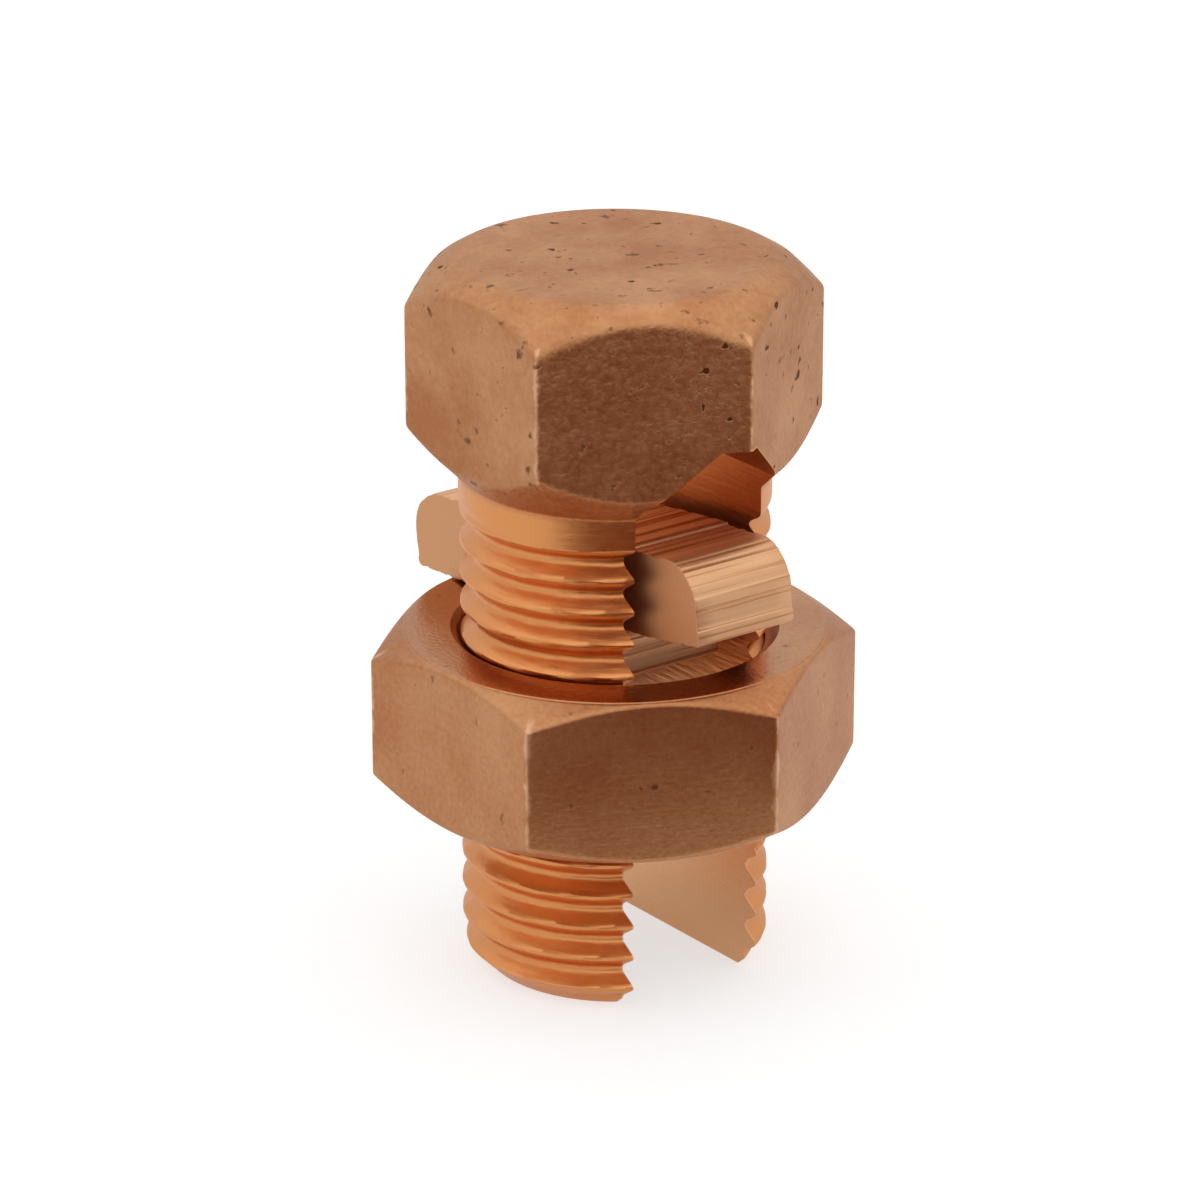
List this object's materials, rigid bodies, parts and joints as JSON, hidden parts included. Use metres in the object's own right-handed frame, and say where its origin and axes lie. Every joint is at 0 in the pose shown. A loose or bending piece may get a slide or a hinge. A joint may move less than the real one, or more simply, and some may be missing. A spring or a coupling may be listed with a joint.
{
  "type": "split bolt connector",
  "caption": "Split bolt with a slotted threaded shank, a loose pressure bar and a hexagon nut that clamps stranded wires together in the slot.",
  "frame": {"origin": "on the bolt's axis, in the plane of the two legs' end faces", "axes": "+Z runs along the bolt from the legs to the head, and the slot runs along Y, with one leg at +X and one at -X"},
  "size_m": [0.0198, 0.0229, 0.0333],
  "materials": {
    "split_bolt": "forged copper alloy, dull, with a cut thread",
    "pressure_bar": "extruded copper alloy with die lines across the slot",
    "nut": "copper alloy with turned faces"
  },
  "bodies": {
    "split_bolt": {"split_bolt": "split_bolt"},
    "pressure_bar": {"pressure_bar": "pressure_bar"},
    "nut": {"nut": "nut"}
  },
  "joints": [
    {"name": "bar_slide", "type": "slide", "parent": "split_bolt", "child": "pressure_bar", "axis": [0, 0, 1], "range_m": [-0.00825, 0.003]},
    {"name": "nut_turn", "type": "hinge", "parent": "pressure_bar", "child": "nut", "pos_m": [0, 0, 0.012], "axis": [0, 0, 1], "range_deg": [-1980, 720]}
  ],
  "couplings": [
    {"joint": "bar_slide", "follows": "nut_turn", "m_per_rad": 0.00023873}
  ]
}
